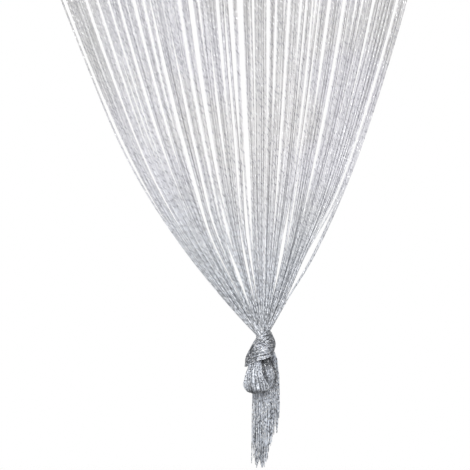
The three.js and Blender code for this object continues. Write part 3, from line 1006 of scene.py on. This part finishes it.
def headingTape():
    piece = primitive("heading_tape", bpy.ops.mesh.primitive_grid_add, size=1,
                      x_subdivisions=tape["columns"], y_subdivisions=tape["rows"])
    flatPoints = meshPoints(piece)
    across = flatPoints[:, 0] * tape["width"]
    share = flatPoints[:, 1] + 0.5
    y, z, girth = tapeSection(share)
    soft = np.sin(math.pi * share) ** 2 * tape["slack"]
    ripple = sum(height * np.sin(across / length + start + slant * share)
                 for length, start, slant, height in tape["ripples"])
    toFront, down = tape["slackBy"]
    y = y - soft * ripple * toFront
    z = z - soft * (1 + ripple) * down
    setMeshPoints(piece, np.stack([across, y, z], axis=1) * mm)
    layClothMap(piece, np.stack([across, share * girth], axis=1) * mm)
    bpy.ops.object.mode_set(mode="EDIT")
    bpy.ops.mesh.select_all(action="SELECT")
    bpy.ops.mesh.normals_make_consistent(inside=False)
    bpy.ops.object.mode_set(mode="OBJECT")
    wall = piece.modifiers.new("cloth", "SOLIDIFY")
    wall.thickness = tape["cloth"] * mm
    wall.offset = 0
    bpy.ops.object.modifier_apply(modifier=wall.name)
    bpy.ops.object.shade_smooth_by_angle(angle=creaseAngle)
    piece.data.materials.append(wovenTape)
    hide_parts("header_tape")
    return piece


wovenTape = tapeMaterial()
headingPiece = headingTape()

# Stitches on both faces of the tape, in millimetres. Each dips into the cloth at its ends.
stitching = {
    "rows": (-39.5, -47.6),
    "margin": 3.0,
    "pitch": 3.1,
    "length": 2.4,
    "radius": 0.24,
    "taper": (0.55, 1, 1, 1, 0.55),
    "out": 1.32,
    "dip": 0.45,
    "dipPower": 4,
    "plies": 2.0,
    "plyPitch": 0.0009,
    "plyHeight": 0.00005,
    "colour": (0.7, 0.7, 0.71, 1),
    # Painted shade in the thread's ply grooves.
    "grooveShadeColour": (0.45, 0.455, 0.465, 1),
    "roughness": 0.5,
}


def threadMaterial():
    material, tree, shader = newMaterial("sewingThread")
    around, along = mapPlace(tree, "yarn")
    twist = placeGroup(tree, yarnTwist, Around=around, Along=along,
                       Plies=stitching["plies"], Pitch=stitching["plyPitch"])
    # Painted shade in the grooves between the plies.
    grooveShade = twist.outputs["GrooveShade"]
    feed(tree, shader, {
        "Base Color": mixColour(tree, grooveShade, stitching["colour"], stitching["grooveShadeColour"]),
        "Roughness": stitching["roughness"],
        "Normal": bumpNode(tree, twist.outputs["Height"], stitching["plyHeight"]),
    })
    return material


def tapeStitches():
    count = int((tape["width"] - 2 * stitching["margin"]) / stitching["pitch"])
    starts = stitching["margin"] - tape["width"] / 2 + np.arange(count) * stitching["pitch"]
    t = np.linspace(0, 1, len(stitching["taper"]))
    paths = []
    for row in stitching["rows"]:
        for side in (-1, 1):
            x = starts[:, None] + t[None] * stitching["length"]
            out = stitching["out"] - stitching["dip"] * (2 * t - 1) ** stitching["dipPower"]
            y = np.broadcast_to(side * out, x.shape)
            paths.append(np.stack([x, y, np.full(x.shape, row)], axis=-1))
    paths = np.concatenate(paths) * mm
    radius = np.array(stitching["taper"])[None] * stitching["radius"] * mm
    return strandMesh("tape_stitches", paths, radius, radius, (0, 0, 1), 0.0,
                      np.ones(len(paths)), np.zeros(len(paths)), sewingThread)


# The narrow strip below the tape that holds the strings' roots, and the overlock thread that goes round it.
strip = {"top": -50.03, "foot": -54.3, "halfDepth": 1.05, "bevel": 0.7, "bevelSegments": 3}
overlock = {"margin": 2.0, "pitch": 3.2, "radius": 0.22, "out": 0.1}


def stringStrip():
    middle = (0, 0, (strip["top"] + strip["foot"]) / 2 * mm)
    piece = primitive("string_strip", bpy.ops.mesh.primitive_cube_add, middle, size=1)
    piece.scale = (tape["width"] * mm, 2 * strip["halfDepth"] * mm, (strip["top"] - strip["foot"]) * mm)
    bpy.ops.object.transform_apply(location=True, rotation=True, scale=True)
    bpy.ops.object.mode_set(mode="EDIT")
    bpy.ops.mesh.select_all(action="SELECT")
    bpy.ops.mesh.bevel(offset=strip["bevel"] * mm, segments=strip["bevelSegments"], affect="EDGES")
    bpy.ops.object.mode_set(mode="OBJECT")
    bpy.ops.object.shade_smooth_by_angle(angle=creaseAngle)
    layClothMap(piece, meshPoints(piece)[:, [0, 2]])
    piece.data.materials.append(wovenTape)
    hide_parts("string_panel")
    return piece


def stripOverlock():
    count = int((tape["width"] - 2 * overlock["margin"]) / overlock["pitch"])
    corner = np.arange(4 * count)
    x = overlock["margin"] - tape["width"] / 2 + corner * overlock["pitch"] / 4
    y = np.where(corner % 4 < 2, -1, 1) * (strip["halfDepth"] + overlock["out"])
    isTop = (corner % 4 == 0) | (corner % 4 == 3)
    z = np.where(isTop, strip["top"] + overlock["out"], strip["foot"] - overlock["out"])
    t = np.linspace(0, 1, len(corner) * 2 - 1)
    paths = smoothRows(np.stack([x, y, z], axis=-1), t)[None] * mm
    radius = overlock["radius"] * mm
    return strandMesh("strip_overlock", paths, radius, radius, (1, 0, 0), 0.0,
                      np.ones(1), np.zeros(1), sewingThread)


sewingThread = threadMaterial()
stitchPiece = tapeStitches()
stripPiece = stringStrip()
overlockPiece = stripOverlock()
print("string curtain: the heading tape is sewn")

# A pale round floor, in metres. It fades out into the white backdrop between two distances from the middle.
stage = {
    "radius": 3.2,
    "edges": 96,
    "height": -2.05,
    "fade": (0.7, 3.1),
    "dark": (0.9, 0.9, 0.9, 1),
    "pale": (0.93, 0.93, 0.93, 1),
    "grain": 300,
    "grainDetail": 2,
    "roughness": 0.9,
}


def stageFloor():
    floor = primitive("studio_floor", bpy.ops.mesh.primitive_circle_add, vertices=stage["edges"],
                      radius=stage["radius"], fill_type="TRIFAN")
    points = meshPoints(floor)
    points[:, 2] = stage["height"]
    setMeshPoints(floor, points)
    material, tree, shader = newMaterial("palePaper")
    place = objectPlace(tree)
    grain = noiseNode(tree, place, stage["grain"], stage["grainDetail"])
    flat = vectorNode(tree, "MULTIPLY", {0: place, 1: (1, 1, 0)})
    reach = vectorNode(tree, "LENGTH", {0: flat.outputs["Vector"]})
    feed(tree, shader, {
        "Base Color": mixColour(tree, grain, stage["dark"], stage["pale"]),
        "Roughness": stage["roughness"],
        "Alpha": rangeNode(tree, reach.outputs["Value"], *stage["fade"], 1, 0),
    })
    floor.data.materials.append(material)


lighting = {
    "world": {"ahead": 0.42, "sides": 0.27},
    "lamps": {
        "keyLight": {"place": (-0.4, -2.8, -0.5), "aim": (0.05, 0, -1.4), "size": 1.3, "power": 45.0},
        "fillLight": {"place": (1.3, -2.6, -1.2), "aim": (0.05, 0, -1.4), "size": 1.6, "power": 11.0},
        "backLight": {"place": (0.4, 2.6, 0.2), "aim": (0, 0, -1.0), "size": 2.4, "power": 24.0},
    },
}


# The world is pure white behind the curtain and dimmer as a light, most of all from the sides.
def studioWorld(ahead, sides):
    world = bpy.data.worlds.new("studio")
    world.use_nodes = True
    scene.world = world
    tree = world.node_tree
    tree.nodes.clear()
    direction = splitVector(tree, tree.nodes.new("ShaderNodeTexCoord").outputs["Generated"])
    facing = mathNode(tree, "ABSOLUTE", direction[1])
    strength = rangeNode(tree, facing, 0, 1, sides, ahead)
    lit = newNode(tree, "Background", {"Color": (1, 1, 1, 1), "Strength": strength})
    seen = newNode(tree, "Background", {"Color": (1, 1, 1, 1)})
    path = tree.nodes.new("ShaderNodeLightPath")
    isSeen = path.outputs["Is Camera Ray"]
    mix = newNode(tree, "MixShader", {"Fac": isSeen, 1: lit.outputs[0], 2: seen.outputs[0]})
    newNode(tree, "OutputWorld", {"Surface": mix.outputs[0]})


def softLight(name, place, aim, size, power):
    data = bpy.data.lights.new(name, "AREA")
    data.shape = "SQUARE"
    data.size = size
    data.energy = power
    lamp = bpy.data.objects.new(name, data)
    lamp.location = place
    lamp.rotation_euler = (Vector(aim) - Vector(place)).to_track_quat("-Z", "Y").to_euler()
    lamp.visible_camera = False
    scene.collection.objects.link(lamp)


stageFloor()
studioWorld(**lighting["world"])
for name, values in lighting["lamps"].items():
    softLight(name, **values)
scene.view_settings.view_transform = "Standard"
print("string curtain: the studio is lit")

knotPieces = [knotWrap, broadLobe, roundLobe, wrapCore, broadCore, roundCore, tailPiece]
for piece in [*stringPieces, *knotPieces, stripPiece, overlockPiece]:
    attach(piece, "root")
for piece in (headingPiece, stitchPiece):
    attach(piece, "root")

print("string curtain: done")
